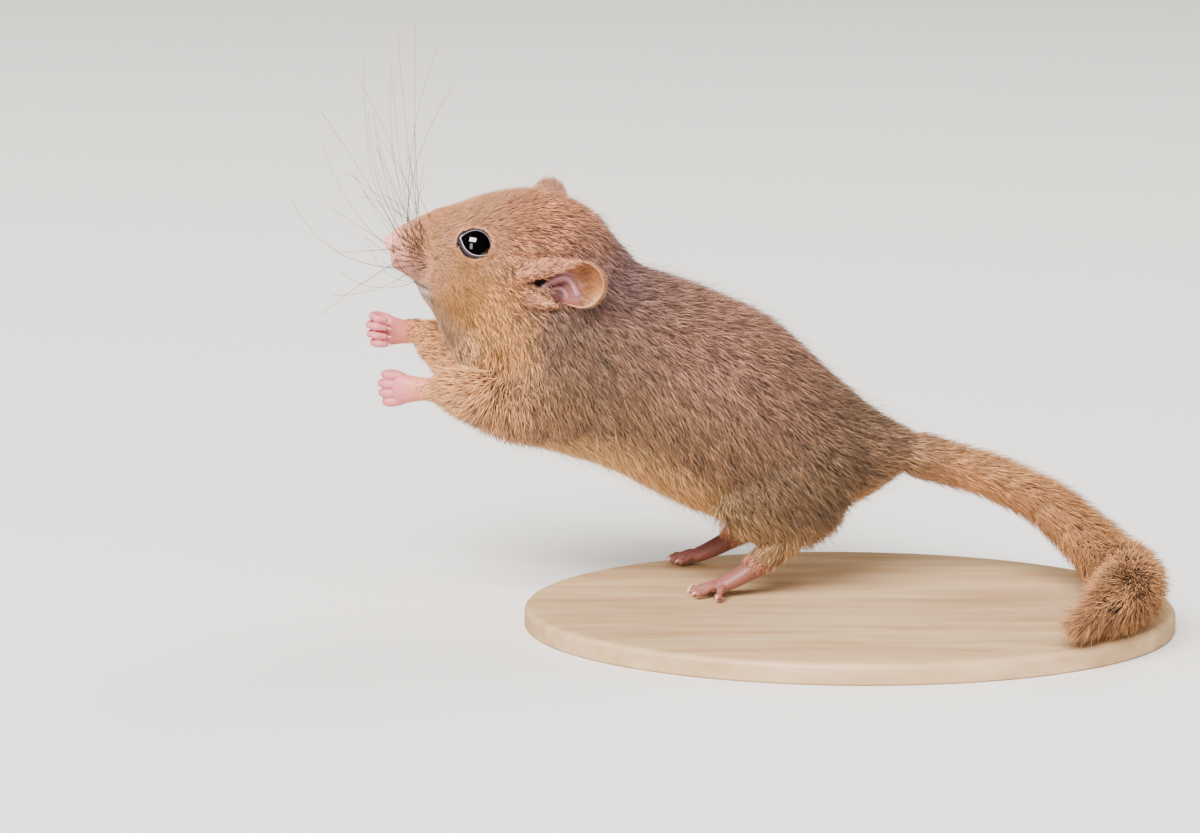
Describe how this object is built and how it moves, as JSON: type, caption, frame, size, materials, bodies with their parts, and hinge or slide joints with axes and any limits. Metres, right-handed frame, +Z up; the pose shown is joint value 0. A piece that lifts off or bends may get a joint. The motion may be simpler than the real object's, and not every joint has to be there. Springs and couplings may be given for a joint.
{
  "type": "hazel dormouse model",
  "caption": "Life-size hazel dormouse with golden coat, long whiskers and furry tail, leaning forward on its hind feet with raised paws, on an oval base",
  "frame": {"origin": "middle of the bounding box's underside, which is the underside of the base", "axes": "+X runs from the nose end to the tail end, -Y is the animal's left side, +Z is up"},
  "size_m": [0.1246, 0.07, 0.0841],
  "materials": {
    "coat_gold": "soft golden-orange fur",
    "coat_grey": "soft greyish-brown fur",
    "coat_pale": "soft cream fur",
    "bare_skin": "pink skin with a faint sheen",
    "ear_skin": "thin downy skin",
    "eye_black": "wet black gloss",
    "base_wood": "satin"
  },
  "bodies": {
    "root": {"head": "coat_gold", "muzzle": "coat_gold", "lower_jaw": "coat_pale", "nose": "bare_skin", "whisker_pad_left": "bare_skin", "whisker_pad_right": "bare_skin", "eye_left": "eye_black", "eye_right": "eye_black", "ear_left": "ear_skin", "ear_right": "ear_skin", "neck": "coat_grey", "torso": "coat_grey", "upper_arm_left": "coat_gold", "upper_arm_right": "coat_gold", "forearm_left": "coat_gold", "forearm_right": "coat_gold", "hand_left": "bare_skin", "hand_right": "bare_skin", "thigh_left": "coat_gold", "thigh_right": "coat_gold", "foot_left": "bare_skin", "foot_right": "bare_skin", "tail_root": "coat_gold", "tail_middle": "coat_gold", "tail_tip": "coat_gold", "stand_base": "base_wood"}
  },
  "joints": []
}
